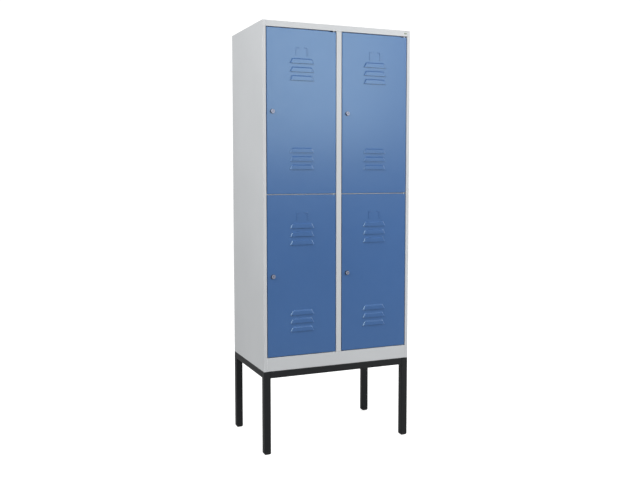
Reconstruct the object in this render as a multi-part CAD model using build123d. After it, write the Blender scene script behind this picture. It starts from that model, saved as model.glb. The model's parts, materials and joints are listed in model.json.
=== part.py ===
from build123d import *
from math import cos, pi
import os

# A steel school locker: two columns and two tiers of inset doors on a square-tube base frame.
# Millimetres. +Z is up, the doors face -Y, and X runs to the right of someone facing the doors.
# The origin is on the floor, under the middle of the bounding box.

# Carcass
WIDTH = 800.0
DEPTH = 500.0
CABINET_HEIGHT = 1700.0
BASE_HEIGHT = 420.0
SHEET = 0.8
BEND = 2.0                  # outside radius of every fold
SIDE_STILE = 17.0
CENTRE_STILE = 28.0
TOP_RAIL = 29.0
REAR_FLANGE = 14.0
PLINTH = 67.0
RETURN_DEPTH = 23.0         # how far the stile and rail edges fold back
STOP_LIP = 12.0             # lip on the lock side, behind the doors
BASE_FLANGE = 30.0
WALL_SETBACK = 1.0          # inner walls and shelves start this far behind the stile returns
FLOOR_LAP = 10.0            # how far the floor sheet's front part runs under its rear part

# Shelves
SHELF_SHEET = 1.0
SHELF_HEM = 2.0             # front edge, folded double
SHELF_HEM_RADIUS = 0.8
SHELF_SETBACK = 0.4         # hem behind the door faces
SHELF_FLANGE = 18.0
SHELF_FLANGE_SETBACK = 2.0
SHELF_CORNER_GAP = 30.0     # side flanges start this far behind the front one

# Doors
DOOR_GAP = 3.0              # to the stiles, the top rail and the plinth
SHELF_GAP = 1.1             # to the hem of the middle shelf
DOOR_DEPTH = 20.0
DOOR_LIP = 12.0
DOOR_EDGE_RADIUS = 2.0
TOP_NOTCH = (34.0, 3.0)     # width and height, at the hinge corner under the top rail
SPLIT_NOTCH = (22.0, 1.6)   # at the hinge corners above and below the middle shelf
NO_NOTCH = (0.0, 0.0)
NOTCHES = {"upper": (TOP_NOTCH, SPLIT_NOTCH), "lower": (SPLIT_NOTCH, NO_NOTCH)}   # high, low corner
LABEL_WIDTH = 62.0
LABEL_HEIGHT = 40.0
LABEL_TOP = 87.0            # below the door's top edge
LABEL_HOOK = 17.0
LABEL_BAR = 4.5
LABEL_PROUD = 1.6
LABEL_RADIUS = 0.8
LOUVRE_BASE = 128.0
LOUVRE_CROWN = 104.0
LOUVRE_HEIGHT = 24.0
LOUVRE_CORNER = 10.0
LOUVRE_PITCH = 41.0
LOUVRE_PROUD = 4.6
LOUVRE_SHOULDER = 5.0       # width of the sloping shoulder round each louvre
LOUVRE_STEPS = 4            # sections through the shoulder
LOUVRE_GROUPS = (164.0, 595.0)   # bottom edge of each group's first louvre, below the door's top
LOUVRES_PER_GROUP = 3
STIFFENER_OFFSET = 85.0     # from the door's middle to the stiffener
STIFFENER_WIDTH = 40.0
STIFFENER_DEPTH = 14.0
STIFFENER_FLANGE = 10.0
STIFFENER_SLOPE = 2.0
STIFFENER_END_GAP = 3.0

# Hinges
PIN_RADIUS = 3.0
PIN_FROM_EDGE = 10.0
PIN_FROM_FACE = 7.0
PIN_ENGAGEMENT = 10.0
PIN_HEAD_RADIUS = 4.5
PIN_HEAD = 2.0
PIN_CHAMFER = 0.6
BUSH_RADIUS = 5.5
BUSH_STEM_RADIUS = 4.0
BUSH_STEM = 2.0
THIN_FLANGE = 1.2           # of the bush at the top of an upper door, which carries no weight
RUNNING_CLEARANCE = 0.05
BUSH_GAP = 0.2

# Locks
LOCK_FROM_EDGE = 29.5
LOCK_PROUD = 8.0
LOCK_FLANGE_RADIUS = 11.6
LOCK_FLANGE = 1.6
LOCK_FLANGE_FILLET = 0.7
LOCK_FACE_RADIUS = 9.8
LOCK_FACE_CHAMFER = 0.9
LOCK_THREAD_RADIUS = 9.45
LOCK_BODY_DEPTH = 22.0
LOCK_NUT = 6.0
LOCK_NUT_RADIUS = 13.5
BARREL_RADIUS = 6.5
BARREL_RECESS = 1.0
BARREL_SHOULDER_RADIUS = 4.7
KEY_SLOT_WIDTH = 2.2
KEY_SLOT_HEIGHT = 8.4
KEY_SLOT_DEPTH = 14.0
CAM_FRONT = 25.0            # from the door's front face
CAM_THICK = 3.0
CAM_WIDTH = 16.0
CAM_REACH = 36.0
CAM_SQUARE = 7.0
CAM_SCREW_RADIUS = 2.0
CAM_SCREW_DEPTH = 4.0       # into the barrel, from the cam's front face
CAM_SCREW_HEAD_RADIUS = 5.5
CAM_SCREW_HEAD = 2.4
CAM_SCREW_HEAD_FILLET = 1.2
SCREW_SLOT_LENGTH = 8.0
SCREW_SLOT_WIDTH = 1.2
SCREW_SLOT_DEPTH = 1.0

# Buffers on the stop lips
BUFFER_RADIUS = 4.0
BUFFER_STEM_RADIUS = 2.0
BUFFER_FILLET = 1.0
BUFFER_BARB = 1.0
BUFFER_BARB_RADIUS = 2.8
BUFFER_HEIGHTS = (150.0, 650.0)  # above each door's lower edge
BUFFER_GAP = 0.2
LIP_GAP = 0.5

# Clothes rails
RAIL_RADIUS = 8.0
RAIL_WALL = 1.2
RAIL_DROP = 78.0            # below the sheet over each compartment
RAIL_Y = 10.0
BRACKET_RADIUS = 18.0
BRACKET_PLATE = 2.0
BRACKET_SOCKET = 12.0
BRACKET_SOCKET_RADIUS = 10.5
HOOK_OFFSET = 80.0
HOOK_WIDTH = 14.0
HOOK_COLLAR_RADIUS = 11.0
HOOK_WIRE = 3.5
HOOK_BEND = 12.0
HOOK_SHANK = 28.0
HOOK_TIP = 6.0
HOOK_BALL = 4.5

# Base frame
TUBE = 35.0
TUBE_WALL = 2.0
TUBE_CORNER = 3.0
FOOT_HEIGHT = 15.0
FOOT_ROUND = 13.0
FOOT_STEM = 20.0
FOOT_STEM_CLEARANCE = 0.1
BOLT_RADIUS = 3.0
BOLT_HOLE_RADIUS = 3.3
BOLT_HEAD = 4.0
BOLT_HEAD_RADIUS = 5.5
BOLT_NUT = 5.0
BOLT_THREAD_PAST_NUT = 2.0
BOLT_FROM_END = 90.0

# Fixing holes in the back, and the blank plate on the top rail
WALL_HOLE_RADIUS = 4.5
WALL_HOLE_SPACING = 600.0
WALL_HOLE_DROP = 60.0
PLATE_WIDTH = 16.0
PLATE_HEIGHT = 7.5
PLATE_THICK = 0.5
PLATE_CORNER = 1.5
PLATE_FROM_STILE = 2.0

CUT = 1.0                   # how far a cutting shape runs past each face that it cuts

# Places that follow from the dimensions above
FRONT = -(DEPTH + LOCK_PROUD) / 2 + LOCK_PROUD
BACK = FRONT + DEPTH
LEFT = -WIDTH / 2
TOP = BASE_HEIGHT + CABINET_HEIGHT
OPENING_BOTTOM = BASE_HEIGHT + PLINTH
OPENING_TOP = TOP - TOP_RAIL
COLUMN_LEFT = {"left": LEFT + SIDE_STILE, "right": CENTRE_STILE / 2}
OPENING_WIDTH = -CENTRE_STILE / 2 - COLUMN_LEFT["left"]
DOOR_WIDTH = OPENING_WIDTH - 2 * DOOR_GAP
DOOR_HEIGHT = (OPENING_TOP - OPENING_BOTTOM - 2 * (DOOR_GAP + SHELF_GAP) - SHELF_HEM) / 2
SHELF_BOTTOM = OPENING_BOTTOM + DOOR_GAP + DOOR_HEIGHT + SHELF_GAP
SHELF_TOP = SHELF_BOTTOM + SHELF_HEM
DOOR_BOTTOM = {"lower": OPENING_BOTTOM + DOOR_GAP, "upper": SHELF_TOP + SHELF_GAP}
STOP_FACE = FRONT + RETURN_DEPTH
BEHIND_STILES = STOP_FACE + WALL_SETBACK
INNER_BACK = BACK - BEND
PIN_Y = FRONT + PIN_FROM_FACE
BUFFER_PLACES = [DOOR_BOTTOM[tier] + z for tier in ("lower", "upper") for z in BUFFER_HEIGHTS]
BOLT_PLACES = (FRONT + BOLT_FROM_END, BACK - BOLT_FROM_END)
PLACES = [(tier, column) for tier in ("upper", "lower") for column in ("left", "right")]


def block(x0, x1, y0, y1, z0, z1):
    """A box between two opposite corners."""
    return Pos((x0 + x1) / 2, (y0 + y1) / 2, (z0 + z1) / 2) * Box(x1 - x0, y1 - y0, z1 - z0)


def rod(radius, start, length, axis="Z"):
    """A round bar that runs along +axis from its start point."""
    turn = {"X": Rot(0, 90, 0), "Y": Rot(-90, 0, 0), "Z": Rot(0, 0, 0)}[axis]
    return Pos(*start) * turn * Cylinder(radius, length, align=(Align.CENTER, Align.CENTER, Align.MIN))


def bore(radius, start, depth, axis="Z"):
    """A cutter for a round hole through depth of material, running past both its faces."""
    back = {"X": (CUT, 0, 0), "Y": (0, CUT, 0), "Z": (0, 0, CUT)}[axis]
    return rod(radius, tuple(s - b for s, b in zip(start, back)), depth + 2 * CUT, axis)


def near(vertices, points):
    """The vertices that lie on the given flat points."""
    return [v for v in vertices if any(abs(v.X - p.X) + abs(v.Y - p.Y) < 1e-4 for p in points)]


def folded(points, thickness=SHEET):
    """Section of a folded sheet. Its outer face follows points and the metal lies to their left."""
    path = [Vector(*p) for p in points]
    steps = [(b - a).normalized() for a, b in zip(path, path[1:])]
    sides = [Vector(-s.Y, s.X) for s in steps]
    inner = [path[0] + sides[0] * thickness]
    outside_corners = []
    inside_corners = []
    for corner, before, after in zip(path[1:-1], sides, sides[1:]):
        shift = (before + after) * (thickness / (1 + before.dot(after)))
        inner.append(corner + shift)
        turns_left = before.X * after.Y - before.Y * after.X > 0
        outside_corners.append(corner if turns_left else corner + shift)
        inside_corners.append(corner + shift if turns_left else corner)
    inner.append(path[-1] + sides[-1] * thickness)
    section = make_face(Polyline(*path, *reversed(inner), close=True))
    section = fillet(near(section.vertices(), outside_corners), BEND)
    return fillet(near(section.vertices(), inside_corners), BEND - thickness)


def upright(points, z0, z1, thickness=SHEET):
    """A folded sheet whose folds are vertical; points are (x, y)."""
    return Pos(0, 0, z0) * extrude(folded(points, thickness), amount=z1 - z0)


def across(points, x0, x1, thickness=SHEET):
    """A folded sheet whose folds run left to right; points are (y, z)."""
    side_plane = Plane(origin=(x0, 0, 0), x_dir=(0, 1, 0), z_dir=(1, 0, 0))
    return extrude(side_plane * folded(points, thickness), amount=x1 - x0)


def door_left(column):
    return COLUMN_LEFT[column] + DOOR_GAP


def pin_x(column):
    return door_left(column) + DOOR_WIDTH - PIN_FROM_EDGE


def at_door(tier, column, shape):
    """Put a shape drawn from a door's lower left front corner onto that door."""
    return Pos(door_left(column), FRONT, DOOR_BOTTOM[tier]) * shape


# ---------------------------------------------------------------- carcass

def side_panel(lock_side):
    """Left side wall: stile, return and rear flange in one sheet, with the flange it stands on."""
    stile_edge = LEFT + SIDE_STILE
    wall = [(LEFT + REAR_FLANGE, BACK), (LEFT, BACK), (LEFT, FRONT), (stile_edge, FRONT),
            (stile_edge, STOP_FACE)]
    panel = upright(wall, BASE_HEIGHT, TOP - SHEET)
    if lock_side:
        lipped = wall + [(stile_edge + STOP_LIP, STOP_FACE)]
        panel += upright(lipped, OPENING_BOTTOM + LIP_GAP, OPENING_TOP - LIP_GAP)
        panel = with_buffer_holes(panel, stile_edge)
    panel += block(LEFT + SHEET / 2, LEFT + BASE_FLANGE, FRONT + TUBE, BACK - TUBE,
                   BASE_HEIGHT, BASE_HEIGHT + SHEET)
    for y in BOLT_PLACES:
        panel -= bore(BOLT_HOLE_RADIUS, (LEFT + TUBE / 2, y, BASE_HEIGHT), SHEET)
    return panel


def with_buffer_holes(panel, stile_edge):
    """Holes through a stop lip for the stems of the buffers."""
    for z in BUFFER_PLACES:
        panel -= bore(BUFFER_STEM_RADIUS, (stile_edge + STOP_LIP / 2, STOP_FACE, z), SHEET, "Y")
    return panel


def back_panel():
    """Sheet behind the rear flanges, with two holes for fixing the locker to a wall."""
    panel = block(LEFT + BEND, -LEFT - BEND, BACK - 2 * SHEET, BACK - SHEET,
                  BASE_HEIGHT + SHEET, TOP - SHEET - BEND)
    for side in (-1, 1):
        hole = (side * WALL_HOLE_SPACING / 2, BACK - 2 * SHEET, TOP - WALL_HOLE_DROP)
        panel -= bore(WALL_HOLE_RADIUS, hole, SHEET, "Y")
    return panel


def top_panel():
    """Top sheet with the front rail, its return and a rear flange, closing the side panels' tops."""
    inner = LEFT + SIDE_STILE
    path = [(BACK, TOP - REAR_FLANGE), (BACK, TOP), (FRONT, TOP), (FRONT, OPENING_TOP),
            (STOP_FACE, OPENING_TOP)]
    strip = block(LEFT, inner, FRONT, BACK, TOP - SHEET, TOP)
    strip = fillet(strip.edges().filter_by(Axis.Z).sort_by(Axis.X)[:2], BEND)
    panel = across(path, inner, -inner) + strip + mirror(strip, about=Plane.YZ)
    for column in COLUMN_LEFT:
        panel -= bore(PIN_RADIUS, (pin_x(column), PIN_Y, OPENING_TOP), SHEET)
    return panel


def bottom_panel():
    """Floor sheet with the plinth folded down in front and turned back over the base frame."""
    inner = LEFT + SIDE_STILE
    path = [(BEHIND_STILES + FLOOR_LAP, OPENING_BOTTOM), (FRONT, OPENING_BOTTOM),
            (FRONT, BASE_HEIGHT), (STOP_FACE, BASE_HEIGHT)]
    panel = across(path, inner, -inner)
    panel += block(LEFT + SHEET, -LEFT - SHEET, BEHIND_STILES, INNER_BACK,
                   OPENING_BOTTOM - SHEET, OPENING_BOTTOM)
    for column in COLUMN_LEFT:
        panel -= bore(PIN_RADIUS, (pin_x(column), PIN_Y, OPENING_BOTTOM - SHEET), SHEET)
    return panel


def centre_partition():
    """Wall between the columns, with a tongue that reaches into the centre stile."""
    half = SHEET / 2
    wall = block(-half, half, BEHIND_STILES, INNER_BACK, OPENING_BOTTOM, TOP - SHEET)
    return wall + block(-half, half, FRONT + SHEET, BEHIND_STILES, OPENING_BOTTOM, OPENING_TOP)


def centre_stile():
    """Channel between the doors; its right edge carries the stop lip of the right-hand column."""
    half = CENTRE_STILE / 2
    channel = [(-half, STOP_FACE), (-half, FRONT), (half, FRONT), (half, STOP_FACE)]
    lipped = channel + [(half + STOP_LIP, STOP_FACE)]
    stile = upright(channel, OPENING_BOTTOM, OPENING_TOP)
    stile += upright(lipped, OPENING_BOTTOM + LIP_GAP, OPENING_TOP - LIP_GAP)
    return with_buffer_holes(stile, half)


def shelf(column):
    """Shelf between two tiers. Its hemmed front edge shows between the doors and holds the middle pin."""
    opening_left = COLUMN_LEFT[column]
    opening_right = opening_left + OPENING_WIDTH
    wall_left, wall_right = walls_of(column)
    lip_end = opening_left + STOP_LIP + LIP_GAP
    underside = SHELF_TOP - SHELF_SHEET
    tongue_end = STOP_FACE - BEND
    sheet = block(wall_left, wall_right, BEHIND_STILES, INNER_BACK, underside, SHELF_TOP)
    sheet += block(lip_end, opening_right, tongue_end, BEHIND_STILES, underside, SHELF_TOP)
    hem = block(opening_left, opening_right, FRONT + SHELF_SETBACK, tongue_end, SHELF_BOTTOM, SHELF_TOP)
    front_edges = hem.edges().filter_by(Axis.X).group_by(Axis.Y)[0]
    sheet += fillet(front_edges, SHELF_HEM_RADIUS)
    flange_bottom = SHELF_TOP - SHELF_FLANGE
    front_flange = BEHIND_STILES + SHELF_FLANGE_SETBACK
    sheet += block(lip_end, opening_right, front_flange, front_flange + SHELF_SHEET,
                   flange_bottom, underside)
    sheet += block(wall_left, wall_right, INNER_BACK - SHELF_SHEET, INNER_BACK,
                   flange_bottom, underside)
    for x in (wall_left, wall_right - SHELF_SHEET):
        sheet += block(x, x + SHELF_SHEET, front_flange + SHELF_CORNER_GAP, INNER_BACK, flange_bottom, underside)
    return sheet - bore(PIN_RADIUS, (pin_x(column), PIN_Y, SHELF_BOTTOM), SHELF_HEM)


def maker_plate():
    """Blank plate at the right end of the top rail."""
    right = -LEFT - SIDE_STILE - PLATE_FROM_STILE
    middle = TOP - TOP_RAIL / 2
    plate = block(right - PLATE_WIDTH, right, FRONT - PLATE_THICK, FRONT,
                  middle - PLATE_HEIGHT / 2, middle + PLATE_HEIGHT / 2)
    return fillet(plate.edges().filter_by(Axis.Y), PLATE_CORNER)


# ---------------------------------------------------------------- doors
# A door is drawn from its lower left front corner and used four times.

def door_outline(tier, inset):
    """Face of a door with a notch at one or both of its hinge-side corners, moved in on every side."""
    right = DOOR_WIDTH - inset
    top = DOOR_HEIGHT - inset
    (high_width, high_height), (low_width, low_height) = NOTCHES[tier]
    low_corner = [(right, inset)]
    if low_height:
        low_corner = [(right - low_width, inset), (right - low_width, inset + low_height),
                      (right, inset + low_height)]
    high_corner = [(right, top - high_height), (right - high_width, top - high_height),
                   (right - high_width, top)]
    return make_face(Polyline((inset, inset), *low_corner, *high_corner, (inset, top), close=True))


def facing(y, sketch):
    """Place a flat (x, z) sketch at depth y, facing the front."""
    return Plane(origin=(0, y, 0), x_dir=(1, 0, 0), z_dir=(0, -1, 0)) * sketch


def plate_between(y0, y1, sketch):
    """A flat (x, z) sketch given thickness from y0 back to y1."""
    return extrude(facing(y1, sketch), amount=y1 - y0)


def louvre_outline(inset):
    """Louvre seen from the front, moved in at its sides and its rounded top, but not at its bottom edge."""
    slant = (LOUVRE_BASE - LOUVRE_CROWN) / 2 / LOUVRE_HEIGHT
    top = LOUVRE_HEIGHT - inset
    half_bottom = LOUVRE_BASE / 2 - inset * (1 + slant ** 2) ** 0.5
    half_top = half_bottom - slant * top
    face = make_face(Polyline((-half_bottom, 0), (half_bottom, 0), (half_top, top), (-half_top, top),
                              close=True))
    return fillet(face.vertices().sort_by(Axis.Y)[2:], LOUVRE_CORNER - inset)


def louvre_body(shift=0.0):
    """Solid under a louvre: a rounded shoulder rises from the sheet to a flat crown, square below."""
    sections = [facing(shift + SHEET / 2, louvre_outline(0))]
    for step in range(LOUVRE_STEPS + 1):
        along = step / LOUVRE_STEPS
        rise = LOUVRE_PROUD * (1 - cos(pi * along)) / 2
        sections.append(facing(shift - rise, louvre_outline(LOUVRE_SHOULDER * along)))
    return loft(sections, ruled=True)


def louvre_places():
    x = DOOR_WIDTH / 2
    return [(x, 0, DOOR_HEIGHT - first - step * LOUVRE_PITCH)
            for first in LOUVRE_GROUPS for step in range(LOUVRES_PER_GROUP)]


def label_bars():
    """Two embossed angles that hold a name card, open to each other."""
    top = DOOR_HEIGHT - LABEL_TOP
    bars = []
    for side in (-1, 1):
        outer = DOOR_WIDTH / 2 + side * LABEL_WIDTH / 2
        inner = outer - side * LABEL_BAR
        hook = outer - side * LABEL_HOOK
        bar = block(min(outer, inner), max(outer, inner), -LABEL_PROUD, SHEET / 2,
                    top - LABEL_HEIGHT, top)
        bar += block(min(outer, hook), max(outer, hook), -LABEL_PROUD, SHEET / 2,
                     top - LABEL_BAR, top)
        bars.append(fillet(bar.faces().sort_by(Axis.Y)[0].edges(), LABEL_RADIUS))
    return bars


def rounded_pan(tier, inset, y0, y1, radius):
    """Block of a door's outline with its front edges rounded."""
    pan = plate_between(y0, y1, door_outline(tier, inset))
    return fillet(pan.faces().sort_by(Axis.Y)[0].edges(), radius)


def door_panel(tier):
    """Pressed pan with turned-in lips, two groups of louvres and an embossed card holder."""
    body = rounded_pan(tier, 0, 0, DOOR_DEPTH, DOOR_EDGE_RADIUS)
    body -= rounded_pan(tier, SHEET, SHEET, DOOR_DEPTH - SHEET, DOOR_EDGE_RADIUS - SHEET)
    body -= block(DOOR_LIP, DOOR_WIDTH - DOOR_LIP, DOOR_DEPTH - SHEET - CUT, DOOR_DEPTH + CUT,
                  DOOR_LIP, DOOR_HEIGHT - DOOR_LIP)
    for place in louvre_places():
        body += Pos(*place) * louvre_body()
        body -= Pos(*place) * louvre_body(shift=SHEET)
    for bar in label_bars():
        body += bar
    body -= bore(LOCK_THREAD_RADIUS, (LOCK_FROM_EDGE, 0, DOOR_HEIGHT / 2), SHEET, "Y")
    low, high = bush_seats(tier)
    for start in (low, high - SHEET):
        body -= bore(BUSH_STEM_RADIUS, (DOOR_WIDTH - PIN_FROM_EDGE, PIN_FROM_FACE, start), SHEET)
    return body


def door_stiffener():
    """Hat section welded up the inside of a door, on its hinge side."""
    x0 = DOOR_WIDTH / 2 + STIFFENER_OFFSET
    x1 = x0 + STIFFENER_WIDTH
    rise = STIFFENER_FLANGE
    crest = STIFFENER_FLANGE + STIFFENER_SLOPE
    path = [(x0, SHEET), (x0 + rise, SHEET), (x0 + crest, STIFFENER_DEPTH),
            (x1 - crest, STIFFENER_DEPTH), (x1 - rise, SHEET), (x1, SHEET)]
    end = DOOR_LIP + STIFFENER_END_GAP
    return upright(path, end, DOOR_HEIGHT - end)


def bush_seats(tier):
    """Heights of the faces that a door's bushes sit on, above its lower edge: lower bush, upper bush."""
    high_notch, low_notch = NOTCHES[tier]
    return low_notch[1], DOOR_HEIGHT - high_notch[1]


def hinge_bushes(tier):
    """Flanged bushes at a door's hinge-side corners, the lower one carrying its weight."""
    x = DOOR_WIDTH - PIN_FROM_EDGE
    low, high = bush_seats(tier)
    low_flange = low + (SHELF_GAP if tier == "upper" else DOOR_GAP) - BUSH_GAP
    high_flange = THIN_FLANGE if tier == "upper" else DOOR_HEIGHT - high + SHELF_GAP - BUSH_GAP
    low_bush = rod(BUSH_RADIUS, (x, PIN_FROM_FACE, low - low_flange), low_flange)
    low_bush += rod(BUSH_STEM_RADIUS, (x, PIN_FROM_FACE, low), BUSH_STEM)
    high_bush = rod(BUSH_RADIUS, (x, PIN_FROM_FACE, high), high_flange)
    high_bush += rod(BUSH_STEM_RADIUS, (x, PIN_FROM_FACE, high - BUSH_STEM), BUSH_STEM)
    hole = rod(PIN_RADIUS + RUNNING_CLEARANCE, (x, PIN_FROM_FACE, -DOOR_HEIGHT), 3 * DOOR_HEIGHT)
    return Compound([low_bush - hole, high_bush - hole])


def hinge_pins():
    """Pins fixed in the top rail, the floor and, reaching both ways, in each shelf."""
    pins = []
    for column in COLUMN_LEFT:
        x = pin_x(column)
        top_start = OPENING_TOP - DOOR_GAP - TOP_NOTCH[1] - PIN_ENGAGEMENT
        top_pin = rod(PIN_RADIUS, (x, PIN_Y, top_start), OPENING_TOP + SHEET - top_start)
        top_pin += rod(PIN_HEAD_RADIUS, (x, PIN_Y, OPENING_TOP + SHEET), PIN_HEAD)
        low_start = OPENING_BOTTOM - SHEET
        low_end = OPENING_BOTTOM + DOOR_GAP + PIN_ENGAGEMENT
        low_pin = rod(PIN_RADIUS, (x, PIN_Y, low_start), low_end - low_start)
        low_pin += rod(PIN_HEAD_RADIUS, (x, PIN_Y, low_start - PIN_HEAD), PIN_HEAD)
        reach = SHELF_GAP + SPLIT_NOTCH[1] + PIN_ENGAGEMENT
        middle_pin = rod(PIN_RADIUS, (x, PIN_Y, SHELF_BOTTOM - reach), SHELF_HEM + 2 * reach)
        pins += [top_pin, middle_pin, low_pin]
    return Compound([chamfer(pin.edges().sort_by(Axis.Z)[0], PIN_CHAMFER) for pin in pins])


def door_buffers():
    """Soft studs pressed into the stop lips, one pair behind each door."""
    buffers = []
    for stile_edge in COLUMN_LEFT.values():
        x = stile_edge + STOP_LIP / 2
        for z in BUFFER_PLACES:
            pad_front = FRONT + DOOR_DEPTH + BUFFER_GAP
            pad = rod(BUFFER_RADIUS, (x, pad_front, z), STOP_FACE - pad_front, "Y")
            pad = fillet(pad.edges().sort_by(Axis.Y)[0], BUFFER_FILLET)
            stem = rod(BUFFER_STEM_RADIUS, (x, STOP_FACE, z), SHEET, "Y")
            barb = rod(BUFFER_BARB_RADIUS, (x, STOP_FACE + SHEET, z), BUFFER_BARB, "Y")
            buffers.append(pad + stem + barb)
    return Compound(buffers)


# ---------------------------------------------------------------- locks

def lock_centre(y):
    return (LOCK_FROM_EDGE, y, DOOR_HEIGHT / 2)


def lock_housing():
    """Flanged collar in front of the door and a threaded body behind it, bored for the barrel."""
    flange = rod(LOCK_FLANGE_RADIUS, lock_centre(-LOCK_FLANGE), LOCK_FLANGE, "Y")
    flange = fillet(flange.edges().sort_by(Axis.Y)[0], LOCK_FLANGE_FILLET)
    collar = rod(LOCK_FACE_RADIUS, lock_centre(-LOCK_PROUD), LOCK_PROUD, "Y")
    collar = chamfer(collar.edges().sort_by(Axis.Y)[0], LOCK_FACE_CHAMFER)
    body = rod(LOCK_THREAD_RADIUS, lock_centre(0), LOCK_BODY_DEPTH, "Y")
    hole_depth = LOCK_PROUD + LOCK_BODY_DEPTH
    hole = bore(BARREL_RADIUS + RUNNING_CLEARANCE, lock_centre(-LOCK_PROUD), hole_depth, "Y")
    return flange + collar + body - hole


def lock_nut():
    hexagon = Pos(LOCK_FROM_EDGE, DOOR_HEIGHT / 2) * RegularPolygon(LOCK_NUT_RADIUS, 6)
    nut = plate_between(SHEET, SHEET + LOCK_NUT, hexagon)
    return nut - bore(LOCK_THREAD_RADIUS, lock_centre(SHEET), LOCK_NUT, "Y")


def cam_square(y0, y1):
    x, _, z = lock_centre(0)
    half = CAM_SQUARE / 2
    return block(x - half, x + half, y0, y1, z - half, z + half)


def lock_barrel():
    """Turning core with a key slot, and a square tail that drives the cam."""
    front = BARREL_RECESS - LOCK_PROUD
    core = rod(BARREL_RADIUS, lock_centre(front), LOCK_BODY_DEPTH - front, "Y")
    core += rod(BARREL_SHOULDER_RADIUS, lock_centre(LOCK_BODY_DEPTH), CAM_FRONT - LOCK_BODY_DEPTH, "Y")
    core += cam_square(CAM_FRONT, CAM_FRONT + CAM_THICK)
    x, _, z = lock_centre(0)
    core -= block(x - KEY_SLOT_WIDTH / 2, x + KEY_SLOT_WIDTH / 2, front - CUT, front + KEY_SLOT_DEPTH,
                  z - KEY_SLOT_HEIGHT / 2, z + KEY_SLOT_HEIGHT / 2)
    screw_end = CAM_FRONT - CAM_SCREW_DEPTH
    return core - rod(CAM_SCREW_RADIUS, lock_centre(screw_end), CAM_SCREW_DEPTH + CAM_THICK + CUT, "Y")


def lock_cam():
    """Cam plate, hanging down when unlocked, and the screw that holds it to the barrel."""
    x, _, z = lock_centre(0)
    half = CAM_WIDTH / 2
    tip = z - CAM_REACH + half
    cam_back = CAM_FRONT + CAM_THICK
    cam = rod(half, (x, CAM_FRONT, z), CAM_THICK, "Y") + rod(half, (x, CAM_FRONT, tip), CAM_THICK, "Y")
    cam += block(x - half, x + half, CAM_FRONT, cam_back, tip, z)
    cam -= cam_square(CAM_FRONT - CUT, cam_back + CUT)
    screw = rod(CAM_SCREW_RADIUS, lock_centre(CAM_FRONT - CAM_SCREW_DEPTH), CAM_SCREW_DEPTH + CAM_THICK, "Y")
    head = rod(CAM_SCREW_HEAD_RADIUS, lock_centre(cam_back), CAM_SCREW_HEAD, "Y")
    head = fillet(head.edges().sort_by(Axis.Y)[-1], CAM_SCREW_HEAD_FILLET)
    slot_floor = cam_back + CAM_SCREW_HEAD - SCREW_SLOT_DEPTH
    head -= block(x - SCREW_SLOT_LENGTH / 2, x + SCREW_SLOT_LENGTH / 2, slot_floor, slot_floor + 2 * CUT,
                  z - SCREW_SLOT_WIDTH / 2, z + SCREW_SLOT_WIDTH / 2)
    return Compound([cam, screw + head])


# ---------------------------------------------------------------- inside the compartments

def walls_of(column):
    """The two side faces of a column of compartments."""
    if column == "left":
        return LEFT + SHEET, -SHEET / 2
    return SHEET / 2, -LEFT - SHEET


def rail_height(tier):
    ceiling = TOP - SHEET if tier == "upper" else SHELF_TOP - SHELF_SHEET
    return ceiling - RAIL_DROP


def clothes_rails():
    rails = []
    for tier, column in PLACES:
        x0, x1 = walls_of(column)
        start = (x0 + BRACKET_PLATE, RAIL_Y, rail_height(tier))
        length = x1 - x0 - 2 * BRACKET_PLATE
        rails.append(rod(RAIL_RADIUS, start, length, "X") - rod(RAIL_RADIUS - RAIL_WALL, start, length, "X"))
    return Compound(rails)


def rail_brackets():
    """Sockets fixed to the walls, two for each clothes rail."""
    brackets = []
    for tier, column in PLACES:
        for wall, inward in zip(walls_of(column), (1, -1)):
            plate_start = wall if inward > 0 else wall - BRACKET_PLATE
            socket_start = wall if inward > 0 else wall - BRACKET_SOCKET
            bore_start = wall + BRACKET_PLATE if inward > 0 else wall - BRACKET_SOCKET
            z = rail_height(tier)
            bracket = rod(BRACKET_RADIUS, (plate_start, RAIL_Y, z), BRACKET_PLATE, "X")
            bracket += rod(BRACKET_SOCKET_RADIUS, (socket_start, RAIL_Y, z), BRACKET_SOCKET, "X")
            bore_length = BRACKET_SOCKET - BRACKET_PLATE
            brackets.append(bracket - rod(RAIL_RADIUS, (bore_start, RAIL_Y, z), bore_length, "X"))
    return Compound(brackets)


def coat_hook(tier, column, side):
    """Moulded hook whose collar slides along a clothes rail."""
    x0, x1 = walls_of(column)
    x = (x0 + x1) / 2 + side * HOOK_OFFSET
    z = rail_height(tier)
    collar = rod(HOOK_COLLAR_RADIUS, (x - HOOK_WIDTH / 2, RAIL_Y, z), HOOK_WIDTH, "X")
    neck = Vector(x, RAIL_Y, z - (RAIL_RADIUS + HOOK_COLLAR_RADIUS) / 2)
    bend_start = Vector(x, RAIL_Y, z - HOOK_SHANK)
    bend_end = bend_start + Vector(0, -2 * HOOK_BEND, 0)
    bend_low = bend_start + Vector(0, -HOOK_BEND, -HOOK_BEND)
    tip = bend_end + Vector(0, 0, HOOK_TIP)
    route = Line(neck, bend_start) + ThreePointArc(bend_start, bend_low, bend_end) + Line(bend_end, tip)
    wire = sweep(Plane(origin=neck, z_dir=(0, 0, -1)) * Circle(HOOK_WIRE), path=route)
    hook = collar + wire + Pos(tip.X, tip.Y, tip.Z) * Sphere(HOOK_BALL)
    return hook - bore(RAIL_RADIUS + RUNNING_CLEARANCE, (x - HOOK_WIDTH / 2, RAIL_Y, z), HOOK_WIDTH, "X")


# ---------------------------------------------------------------- base frame

def rounded_square(size, corner):
    return RectangleRounded(size, size, corner)


def square_tube(length):
    """Square tube standing on the origin."""
    outer = extrude(rounded_square(TUBE, TUBE_CORNER), amount=length)
    return outer - extrude(rounded_square(TUBE - 2 * TUBE_WALL, TUBE_CORNER - TUBE_WALL), amount=length)


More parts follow.
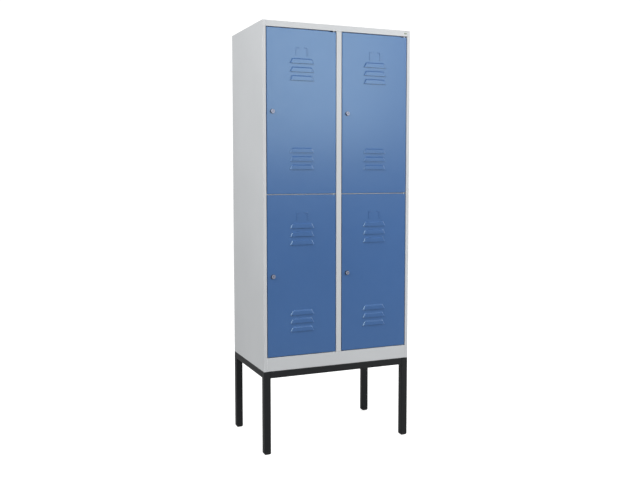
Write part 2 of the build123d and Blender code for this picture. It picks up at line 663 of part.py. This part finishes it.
def leg_places():
    """Centre of each leg, named by its corner."""
    half_x = WIDTH / 2 - TUBE / 2
    return {f"{depth}_{side}": (sign * half_x, y)
            for depth, y in (("front", FRONT + TUBE / 2), ("back", BACK - TUBE / 2))
            for side, sign in (("left", -1), ("right", 1))}


def base_leg(x, y):
    return Pos(x, y, FOOT_HEIGHT) * square_tube(BASE_HEIGHT - FOOT_HEIGHT)


def foot(x, y):
    """Plastic foot with a rounded underside and a plug that fits inside the leg."""
    side = RectangleRounded(TUBE, 2 * FOOT_HEIGHT, FOOT_ROUND)
    lower_half = block(-TUBE, TUBE, -TUBE, TUBE, 0, FOOT_HEIGHT)
    rounded_x = extrude(Plane.XZ * side, amount=TUBE, both=True)
    rounded_y = extrude(Plane.YZ * side, amount=TUBE, both=True)
    column = extrude(rounded_square(TUBE, TUBE_CORNER), amount=FOOT_HEIGHT)
    lift = Pos(0, 0, FOOT_HEIGHT)
    cap = column & (lift * rounded_x) & (lift * rounded_y) & lower_half
    plug_size = TUBE - 2 * TUBE_WALL - 2 * FOOT_STEM_CLEARANCE
    plug = extrude(rounded_square(plug_size, TUBE_CORNER - TUBE_WALL), amount=FOOT_STEM)
    return Pos(x, y, 0) * (cap + lift * plug)


def base_rail(axis, x, y, length):
    """Rail between two legs, level with their tops; x and y give the end it starts from."""
    turn = Rot(0, 90, 0) if axis == "X" else Rot(-90, 0, 0)
    rail = Pos(x, y, BASE_HEIGHT - TUBE / 2) * turn * square_tube(length)
    if axis == "Y":
        for bolt_y in BOLT_PLACES:
            rail -= bore(BOLT_HOLE_RADIUS, (x, bolt_y, BASE_HEIGHT - TUBE), TUBE)
    return rail


def base_bolts():
    """Bolts up through the side rails into the cabinet's base flanges, each with its nut."""
    pieces = []
    for x in (LEFT + TUBE / 2, -LEFT - TUBE / 2):
        for y in BOLT_PLACES:
            under = BASE_HEIGHT - TUBE
            seat = BASE_HEIGHT + SHEET
            hexagon = RegularPolygon(BOLT_HEAD_RADIUS, 6)
            head = Pos(x, y, under - BOLT_HEAD) * extrude(hexagon, amount=BOLT_HEAD)
            thread_end = seat + BOLT_NUT + BOLT_THREAD_PAST_NUT
            pieces.append(head + rod(BOLT_RADIUS, (x, y, under), thread_end - under))
            nut = Pos(x, y, seat) * extrude(hexagon, amount=BOLT_NUT)
            pieces.append(nut - bore(BOLT_RADIUS, (x, y, seat), BOLT_NUT))
    return Compound(pieces)


# ---------------------------------------------------------------- write every piece

def save(name, shape):
    export_step(shape, f"parts/{name}.step")


os.makedirs("parts", exist_ok=True)

save("left_side_panel", side_panel(lock_side=True))
save("right_side_panel", mirror(side_panel(lock_side=False), about=Plane.YZ))
save("back_panel", back_panel())
save("top_panel", top_panel())
save("bottom_panel", bottom_panel())
save("centre_partition", centre_partition())
save("centre_stile", centre_stile())
save("left_shelf", shelf("left"))
save("right_shelf", shelf("right"))
save("maker_plate", maker_plate())
save("hinge_pins", hinge_pins())
save("door_buffers", door_buffers())
save("clothes_rails", clothes_rails())
save("rail_brackets", rail_brackets())

for corner, (leg_x, leg_y) in leg_places().items():
    save(f"base_leg_{corner}", base_leg(leg_x, leg_y))
save("feet", Compound([foot(*place) for place in leg_places().values()]))

leg_to_leg_x = WIDTH - 2 * TUBE
leg_to_leg_y = DEPTH - 2 * TUBE
save("base_rail_front", base_rail("X", LEFT + TUBE, FRONT + TUBE / 2, leg_to_leg_x))
save("base_rail_back", base_rail("X", LEFT + TUBE, BACK - TUBE / 2, leg_to_leg_x))
save("base_rail_left", base_rail("Y", LEFT + TUBE / 2, FRONT + TUBE, leg_to_leg_y))
save("base_rail_right", base_rail("Y", -LEFT - TUBE / 2, FRONT + TUBE, leg_to_leg_y))
save("base_bolts", base_bolts())

panel_shapes = {tier: door_panel(tier) for tier in DOOR_BOTTOM}
stiffener_shape = door_stiffener()
housing_shape = lock_housing()
nut_shape = lock_nut()
barrel_shape = lock_barrel()
cam_shape = lock_cam()
for tier, column in PLACES:
    where = f"{tier}_{column}"
    save(f"door_panel_{where}", at_door(tier, column, panel_shapes[tier]))
    save(f"door_stiffener_{where}", at_door(tier, column, stiffener_shape))
    save(f"hinge_bushes_{where}", at_door(tier, column, hinge_bushes(tier)))
    save(f"lock_housing_{where}", at_door(tier, column, housing_shape))
    save(f"lock_nut_{where}", at_door(tier, column, nut_shape))
    save(f"lock_barrel_{where}", at_door(tier, column, barrel_shape))
    save(f"lock_cam_{where}", at_door(tier, column, cam_shape))
    for hook, side in (("left", -1), ("right", 1)):
        save(f"{hook}_hook_{where}", coat_hook(tier, column, side))
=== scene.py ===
import bmesh
import bpy
import json
import math
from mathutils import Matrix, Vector


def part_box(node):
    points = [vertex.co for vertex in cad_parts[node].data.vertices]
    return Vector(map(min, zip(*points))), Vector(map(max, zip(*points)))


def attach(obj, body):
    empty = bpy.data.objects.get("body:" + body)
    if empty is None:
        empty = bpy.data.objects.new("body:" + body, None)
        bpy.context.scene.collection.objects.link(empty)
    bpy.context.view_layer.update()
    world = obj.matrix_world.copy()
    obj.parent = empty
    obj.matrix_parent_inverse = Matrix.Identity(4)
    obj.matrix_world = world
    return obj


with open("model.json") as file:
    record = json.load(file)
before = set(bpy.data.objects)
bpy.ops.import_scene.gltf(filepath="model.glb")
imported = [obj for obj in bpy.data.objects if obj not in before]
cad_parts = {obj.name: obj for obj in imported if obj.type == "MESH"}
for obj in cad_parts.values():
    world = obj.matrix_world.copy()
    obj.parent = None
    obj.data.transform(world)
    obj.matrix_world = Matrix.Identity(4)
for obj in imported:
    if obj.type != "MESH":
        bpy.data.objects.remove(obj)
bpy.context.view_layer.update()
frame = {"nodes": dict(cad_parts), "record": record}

NODES = frame["nodes"]

# sizes of the small pieces made here, in metres
RIVET_RADIUS = 0.0032
RIVET_HEIGHT = 0.0012
RIVET_DIMPLE = 0.0008
RIVET_PITCH = 0.0285             # between the two rivets of a bracket
BRACKET_PLATE = 0.002
WELD_RADIUS = 0.0022
WELD_RIPPLE = 0.0018
WELD_WAIST = 0.86                # radius between two ripples, as a share of the radius on one
WELD_TIP = (0.45, 0.3)           # share of the radius at the weld's end, and its gain at each ring
WELD_MARGIN = 0.004              # from the corner of a rail to the end of its weld

# sizes and heights of the surface detail, in metres
PEEL = 0.0016                    # orange peel of the baked paint
PEEL_HEIGHT = 0.000008
SHEET_WAVE = 0.19                # slow waviness of the thin sheet
SHEET_WAVE_HEIGHT = 0.00022
PAINT_PATCHES = 0.35             # faint unevenness of the paint's colour
PAINT_GLOSS_PATCHES = 0.06
DRAWN_LINES = 0.0005             # width of the lines along drawn and plated metal
DRAWN_LINES_HEIGHT = 0.000012
DRAWN_STRETCH = 0.04             # how much slower a drawn line varies along its length
PLATING_PATCHES = 0.012          # cloudiness of the plating
PLATING_GLOSS_PATCHES = 0.02
BRUSHED_LINES = 0.0004
BRUSHED_LINES_HEIGHT = 0.000008
BRUSHED_STRETCH = 0.03
BRUSHED_PATCHES = 0.006
TURNED_GRAIN = 0.0006            # satin grain of the lock's face
MOULD_GRAIN = 0.0007             # spark-eroded grain of a mould
FLOW_MARKS = 0.03
MOULD_GLOSS_PATCHES = 0.006
LOCK_SHADE_RIM = (0.0012, 0.0020)      # behind the lock's face: where the collar's painted shade starts and is full

# paints, metals and plastics, as linear colours
CARCASS_GREY = (0.584, 0.600, 0.613)
DOOR_BLUE = (0.0490, 0.128, 0.328)
DOOR_GLOSS = (0.74, 0.96, 1.0)
BASE_BLACK = (0.011, 0.0125, 0.014)
LOCK_FACE = (0.29, 0.32, 0.42)
# the collar's dark colour is painted shade, standing in for the lock's shadow and dark side
LOCK_COLLAR_SHADE = (0.12, 0.135, 0.17)
LOCK_ROUGHNESS = (0.16, 0.46)    # of the collar and of the face
LOCK_METALLIC = (1.0, 0.45)
ZINC = (0.62, 0.63, 0.65)
TUBE_STEEL = (0.66, 0.67, 0.68)
PLATE_GREY = (0.24, 0.27, 0.22)
FOOT_BLACK = (0.012, 0.012, 0.013)
HOOK_BLACK = (0.018, 0.018, 0.020)
NYLON_GREY = (0.40, 0.46, 0.50)
RUBBER_GREY = (0.035, 0.035, 0.037)

# studio brightness: for light and reflections, and where the camera looks straight at it
FLOOR_COLOUR = (0.37, 0.55)
FLOOR_GLOW = (0.0, 0.80)
SKY = (0.43, 1.1)
FLOOR_REACH = 60.0

# camera
EYE = (-1.614, -3.806, 1.397)
TURN_TO_RIGHT = math.radians(23.0)
TILT_DOWN = math.radians(4.24)
LENS = 43.8
SENSOR = 36.0
SHIFT = -0.0156

# softboxes: name, place, aim, width, height and watts
SOFTBOXES = (
    ("front_box", (0.96, -3.25, 2.50), (0.1, -0.25, 1.8), 1.85, 1.8, 36),
    ("key_box", (4.5, -3.0, 2.8), (0, -0.25, 1.6), 3.0, 2.6, 149),
    ("left_box", (-3.8, -1.1, 3.3), (0, 0, 1.3), 3.0, 2.2, 124),
    ("back_box", (2.4, 4.6, 3.4), (0, 0, 1.2), 4.0, 2.6, 90),
)


# ---------------------------------------------------------------- materials

class Paint:
    """Builds one node material; every helper adds a node and returns its output."""

    def __init__(self, name, colour, roughness, metallic=0.0):
        self.material = bpy.data.materials.new(name)
        self.material.use_nodes = True
        self.tree = self.material.node_tree
        self.surface = self.tree.nodes["Principled BSDF"]
        self.colour = colour
        self.set("Base Color", (*colour, 1.0))
        self.set("Roughness", roughness)
        self.set("Metallic", metallic)
        self.place = self.node("ShaderNodeTexCoord").outputs["Object"]

    def node(self, kind, **settings):
        made = self.tree.nodes.new(kind)
        for name, value in settings.items():
            setattr(made, name, value)
        return made

    def link(self, output, node, socket):
        self.tree.links.new(output, node.inputs[socket])

    def set(self, socket, value):
        self.surface.inputs[socket].default_value = value

    def stretched(self, scale):
        """Object coordinates scaled by a different amount along each axis."""
        mapping = self.node("ShaderNodeMapping")
        mapping.inputs["Scale"].default_value = scale
        self.link(self.place, mapping, "Vector")
        return mapping.outputs["Vector"]

    def noise(self, size, detail=2.0, place=None):
        """Noise whose features are about size metres across."""
        texture = self.node("ShaderNodeTexNoise")
        texture.inputs["Scale"].default_value = 1.0 / size
        texture.inputs["Detail"].default_value = detail
        self.link(place or self.place, texture, "Vector")
        return texture.outputs["Fac"]

    def spread(self, value, low, high, start=0.3, end=0.7):
        """Map a noise value onto a range."""
        ranged = self.node("ShaderNodeMapRange")
        self.link(value, ranged, "Value")
        limits = {"From Min": start, "From Max": end, "To Min": low, "To Max": high}
        for socket, number in limits.items():
            ranged.inputs[socket].default_value = number
        return ranged.outputs["Result"]

    def tint(self, value, low, high):
        """Let a noise value scale the base colour between low and high."""
        mix = self.node("ShaderNodeMix", data_type="RGBA")
        self.link(self.spread(value, 0.0, 1.0), mix, "Factor")
        for index, level in ((6, low), (7, high)):
            mix.inputs[index].default_value = (*(min(1.0, c * level) for c in self.colour), 1.0)
        self.link(mix.outputs[2], self.surface, "Base Color")

    def rough(self, value, low, high):
        self.link(self.spread(value, low, high), self.surface, "Roughness")

    def bump(self, *layers):
        """Stack bump layers, each a (value, height in metres) pair."""
        previous = None
        for value, height in layers:
            bump = self.node("ShaderNodeBump")
            bump.inputs["Strength"].default_value = 1.0
            bump.inputs["Distance"].default_value = height
            self.link(value, bump, "Height")
            if previous is not None:
                self.link(previous, bump, "Normal")
            previous = bump.outputs["Normal"]
        self.link(previous, self.surface, "Normal")


def powder_coat(name, colour, roughness, specular=0.5, gloss_tint=(1, 1, 1)):
    """Baked powder paint: fine orange peel, faint waviness of the sheet and uneven gloss."""
    paint = Paint(name, colour, roughness)
    paint.set("Specular IOR Level", specular)
    paint.set("Specular Tint", (*gloss_tint, 1.0))
    peel = paint.noise(PEEL, 3.0)
    sheet_wave = paint.noise(SHEET_WAVE, 1.0)
    paint.tint(paint.noise(PAINT_PATCHES, 3.0), 0.975, 1.025)
    paint.rough(paint.noise(PAINT_GLOSS_PATCHES), roughness - 0.015, roughness + 0.015)
    paint.bump((sheet_wave, SHEET_WAVE_HEIGHT), (peel, PEEL_HEIGHT))
    return paint.material


def plated_metal(name, colour, roughness, grain_axis=2):
    """Plated or drawn metal with fine lines along one axis and faint cloudiness."""
    metal = Paint(name, colour, roughness, metallic=1.0)
    scale = [1.0, 1.0, 1.0]
    scale[grain_axis] = DRAWN_STRETCH
    lines = metal.noise(DRAWN_LINES, place=metal.stretched(scale))
    metal.tint(metal.noise(PLATING_PATCHES, 3.0), 0.9, 1.06)
    metal.rough(metal.noise(PLATING_GLOSS_PATCHES), roughness - 0.03, roughness + 0.04)
    metal.bump((lines, DRAWN_LINES_HEIGHT))
    return metal.material


def lock_nickel(name):
    """Lock body: a satin-turned nickel face on a polished collar and flange, whose darker colour is
    painted shade.
    """
    metal = Paint(name, LOCK_FACE, LOCK_ROUGHNESS[1])
    parted = metal.node("ShaderNodeSeparateXYZ")
    metal.link(metal.place, parted, "Vector")
    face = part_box("lock_housing_upper_left")[0][1]
    rim_start, rim_end = (face + behind for behind in LOCK_SHADE_RIM)
    # 1 on the face, 0 on the collar and flange, where painted shade darkens the colour
    on_face = metal.spread(parted.outputs["Y"], 1.0, 0.0, rim_start, rim_end)
    mix = metal.node("ShaderNodeMix", data_type="RGBA")
    metal.link(on_face, mix, "Factor")
    mix.inputs[6].default_value = (*LOCK_COLLAR_SHADE, 1.0)
    mix.inputs[7].default_value = (*LOCK_FACE, 1.0)
    metal.link(mix.outputs[2], metal.surface, "Base Color")
    metal.link(metal.spread(on_face, *LOCK_ROUGHNESS, 0.0, 1.0), metal.surface, "Roughness")
    metal.link(metal.spread(on_face, *LOCK_METALLIC, 0.0, 1.0), metal.surface, "Metallic")
    metal.bump((metal.noise(TURNED_GRAIN), DRAWN_LINES_HEIGHT))
    return metal.material


def brushed_plate(name, colour, roughness):
    """Dull anodised aluminium: half metal, with fine lines from left to right."""
    plate = Paint(name, colour, roughness, metallic=0.5)
    lines = plate.noise(BRUSHED_LINES, place=plate.stretched((BRUSHED_STRETCH, 1.0, 1.0)))
    plate.tint(plate.noise(BRUSHED_PATCHES, 3.0), 0.92, 1.06)
    plate.bump((lines, BRUSHED_LINES_HEIGHT))
    return plate.material


def moulded_plastic(name, colour, roughness, grain_height=0.00003):
    """Injection moulding: spark-eroded grain, faint flow marks and uneven gloss."""
    plastic = Paint(name, colour, roughness)
    plastic.tint(plastic.noise(FLOW_MARKS, 3.0), 0.9, 1.1)
    plastic.rough(plastic.noise(MOULD_GLOSS_PATCHES, 3.0), roughness - 0.06, roughness + 0.06)
    plastic.bump((plastic.noise(MOULD_GRAIN), grain_height))
    return plastic.material


MATERIALS = {
    "carcass_grey": powder_coat("carcass_grey", CARCASS_GREY, 0.44, 0.30),
    "door_blue": powder_coat("door_blue", DOOR_BLUE, 0.29, 0.82, DOOR_GLOSS),
    "base_black": powder_coat("base_black", BASE_BLACK, 0.42, 0.35),
    "foot_plastic": moulded_plastic("foot_plastic", FOOT_BLACK, 0.55),
    "lock_metal": lock_nickel("lock_metal"),
    "zinc_steel": plated_metal("zinc_steel", ZINC, 0.32),
    "nylon_grey": moulded_plastic("nylon_grey", NYLON_GREY, 0.45),
    "rubber_grey": moulded_plastic("rubber_grey", RUBBER_GREY, 0.70, 0.00005),
    "rail_metal": plated_metal("rail_metal", TUBE_STEEL, 0.26, grain_axis=0),
    "hook_plastic": moulded_plastic("hook_plastic", HOOK_BLACK, 0.38, 0.00002),
    "plate_grey": brushed_plate("plate_grey", PLATE_GREY, 0.50),
}


def finish_nodes():
    """Give every CAD node the material of its slot."""
    for row in frame["record"]["subparts"]:
        node = NODES[row["node"]]
        node.data.materials.clear()
        node.data.materials.append(MATERIALS[row["material_slot"]])


# ---------------------------------------------------------------- small pieces

def lathed(bm, profile, centre, way, steps=24):
    """Turn (radius, height) pairs about a line through centre along X; way is +1 or -1."""
    rings = []
    for radius, height in profile:
        spots = steps if radius > 0 else 1
        ring = []
        for step in range(spots):
            angle = way * 2 * math.pi * step / steps
            offset = Vector((way * height, radius * math.cos(angle), radius * math.sin(angle)))
            ring.append(bm.verts.new(centre + offset))
        rings.append(ring)
    bridge(bm, rings)


def bridge(bm, rings):
    """Join each ring to the next with faces; a ring of one point closes an end."""
    for first, second in zip(rings, rings[1:]):
        count = max(len(first), len(second))
        for step in range(count):
            after = (step + 1) % count
            corners = [first[step % len(first)], first[after % len(first)],
                       second[after % len(second)], second[step % len(second)]]
            bm.faces.new(list(dict.fromkeys(corners)))


def piece(name, bm, slot):
    """Make a smooth object from bm that rides on the cabinet."""
    bmesh.ops.recalc_face_normals(bm, faces=bm.faces)
    mesh = bpy.data.meshes.new(name)
    bm.to_mesh(mesh)
    bm.free()
    mesh.shade_smooth()
    mesh.materials.append(MATERIALS[slot])
    made = bpy.data.objects.new(name, mesh)
    bpy.context.scene.collection.objects.link(made)
    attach(made, "cabinet")


def rivet_profile():
    """Half section of a blind rivet's head: foot, domed rim, and the dimple that its pin leaves."""
    steps = 6
    rim = []
    for step in range(steps + 1):
        angle = math.pi / 2 * step / steps
        radius = RIVET_DIMPLE + (RIVET_RADIUS - RIVET_DIMPLE) * math.cos(angle)
        rim.append((radius, RIVET_HEIGHT * math.sin(angle)))
    foot = -0.1 * RIVET_HEIGHT
    dimple_floor = 0.45 * RIVET_HEIGHT
    dimple = [(0.9 * RIVET_DIMPLE, dimple_floor), (0, dimple_floor)]
    return [(0, foot), (RIVET_RADIUS, foot), *rim, *dimple]


def bracket_rivets():
    """Two blind rivets, one above the other, hold each rail bracket to its wall."""
    rail_low, rail_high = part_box("clothes_rails")
    side_low, side_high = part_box("rail_brackets")
    wall_low, wall_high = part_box("centre_partition")
    walls = ((side_low[0], 1), (wall_low[0], -1), (wall_high[0], 1), (side_high[0], -1))
    middle = (rail_low[1] + rail_high[1]) / 2
    radius = (rail_high[1] - rail_low[1]) / 2
    bm = bmesh.new()
    for rail in (rail_low[2] + radius, rail_high[2] - radius):
        for z in (rail - RIVET_PITCH / 2, rail + RIVET_PITCH / 2):
            for x, way in walls:
                lathed(bm, rivet_profile(), Vector((x + way * BRACKET_PLATE, middle, z)), way)
    piece("bracket_rivets", bm, "zinc_steel")


def weld_bead(bm, start, end, steps=12):
    """Rippled bead of weld along the corner from start to end, pinched in at both ends."""
    along = end - start
    side = along.cross(Vector((0, 0, 1))).normalized()
    last = 2 * round(along.length / WELD_RIPPLE)
    tip, gain = WELD_TIP
    rings = [[bm.verts.new(start)]]
    for step in range(1, last):
        swell = 1.0 if step % 2 else WELD_WAIST
        taper = min(1.0, tip + gain * min(step, last - step))
        radius = WELD_RADIUS * swell * taper
        centre = start + along * step / last
        ring = []
        for spot in range(steps):
            angle = 2 * math.pi * spot / steps
            offset = side * math.cos(angle) + Vector((0, 0, math.sin(angle)))
            ring.append(bm.verts.new(centre + radius * offset))
        rings.append(ring)
    rings.append([bm.verts.new(end)])
    bridge(bm, rings)


def base_welds():
    """A bead under both ends of every base rail, in the corner with its leg."""
    bm = bmesh.new()
    for rail in ("front", "back", "left", "right"):
        low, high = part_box(f"base_rail_{rail}")
        length_axis = 0 if rail in ("front", "back") else 1
        width_axis = 1 - length_axis
        for end in (low[length_axis], high[length_axis]):
            corners = []
            for edge in (low[width_axis] + WELD_MARGIN, high[width_axis] - WELD_MARGIN):
                corner = Vector((0, 0, low[2]))
                corner[length_axis] = end
                corner[width_axis] = edge
                corners.append(corner)
            weld_bead(bm, *corners)
    piece("base_welds", bm, "base_black")


# ---------------------------------------------------------------- studio

def lit_and_seen(tree, levels):
    """A value that is levels[0] for light and reflections, and levels[1] for the camera."""
    lit, seen = levels
    path = tree.nodes.new("ShaderNodeLightPath")
    mix = tree.nodes.new("ShaderNodeMix")
    mix.inputs[2].default_value = lit
    mix.inputs[3].default_value = seen
    tree.links.new(path.outputs["Is Camera Ray"], mix.inputs[0])
    return mix.outputs[0]


def studio():
    """Pale floor that runs to the horizon under an even, dimmer sky than the white one on view."""
    size = FLOOR_REACH
    mesh = bpy.data.meshes.new("studio_floor")
    mesh.from_pydata([(-size, -size, 0), (size, -size, 0), (size, size, 0), (-size, size, 0)], [],
                     [(0, 1, 2, 3)])
    floor = bpy.data.objects.new("studio_floor", mesh)
    bpy.context.scene.collection.objects.link(floor)
    material = bpy.data.materials.new("studio_floor")
    material.use_nodes = True
    tree = material.node_tree
    matt = tree.nodes["Principled BSDF"]
    matt.inputs["Roughness"].default_value = 1.0
    matt.inputs["Specular IOR Level"].default_value = 0.0
    matt.inputs["Emission Color"].default_value = (1, 1, 1, 1)
    tree.links.new(lit_and_seen(tree, FLOOR_COLOUR), matt.inputs["Base Color"])
    tree.links.new(lit_and_seen(tree, FLOOR_GLOW), matt.inputs["Emission Strength"])
    mesh.materials.append(material)

    world = bpy.data.worlds.new("studio")
    world.use_nodes = True
    sky = world.node_tree.nodes["Background"]
    world.node_tree.links.new(lit_and_seen(world.node_tree, SKY), sky.inputs["Strength"])
    sky.inputs["Color"].default_value = (1, 1, 1, 1)
    bpy.context.scene.world = world
    bpy.context.scene.view_settings.view_transform = "Standard"


def soft_light(name, place, aim, width, height, power):
    """Rectangular softbox; the camera never sees it, the object's gloss does."""
    light = bpy.data.lights.new(name, "AREA")
    light.shape = "RECTANGLE"
    light.size = width
    light.size_y = height
    light.energy = power
    lamp = bpy.data.objects.new(name, light)
    bpy.context.scene.collection.objects.link(lamp)
    lamp.location = place
    lamp.rotation_euler = (Vector(aim) - Vector(place)).to_track_quat("-Z", "Y").to_euler()
    lamp.visible_camera = False


def camera():
    """Eye level view from the locker's left, tilted slightly down."""
    data = bpy.data.cameras.new("camera")
    data.lens = LENS
    data.sensor_width = SENSOR
    data.shift_y = SHIFT
    eye = bpy.data.objects.new("camera", data)
    bpy.context.scene.collection.objects.link(eye)
    eye.location = EYE
    eye.rotation_euler = (math.pi / 2 - TILT_DOWN, 0, -TURN_TO_RIGHT)
    bpy.context.scene.camera = eye


finish_nodes()
bracket_rivets()
base_welds()
studio()
for softbox in SOFTBOXES:
    soft_light(*softbox)
camera()
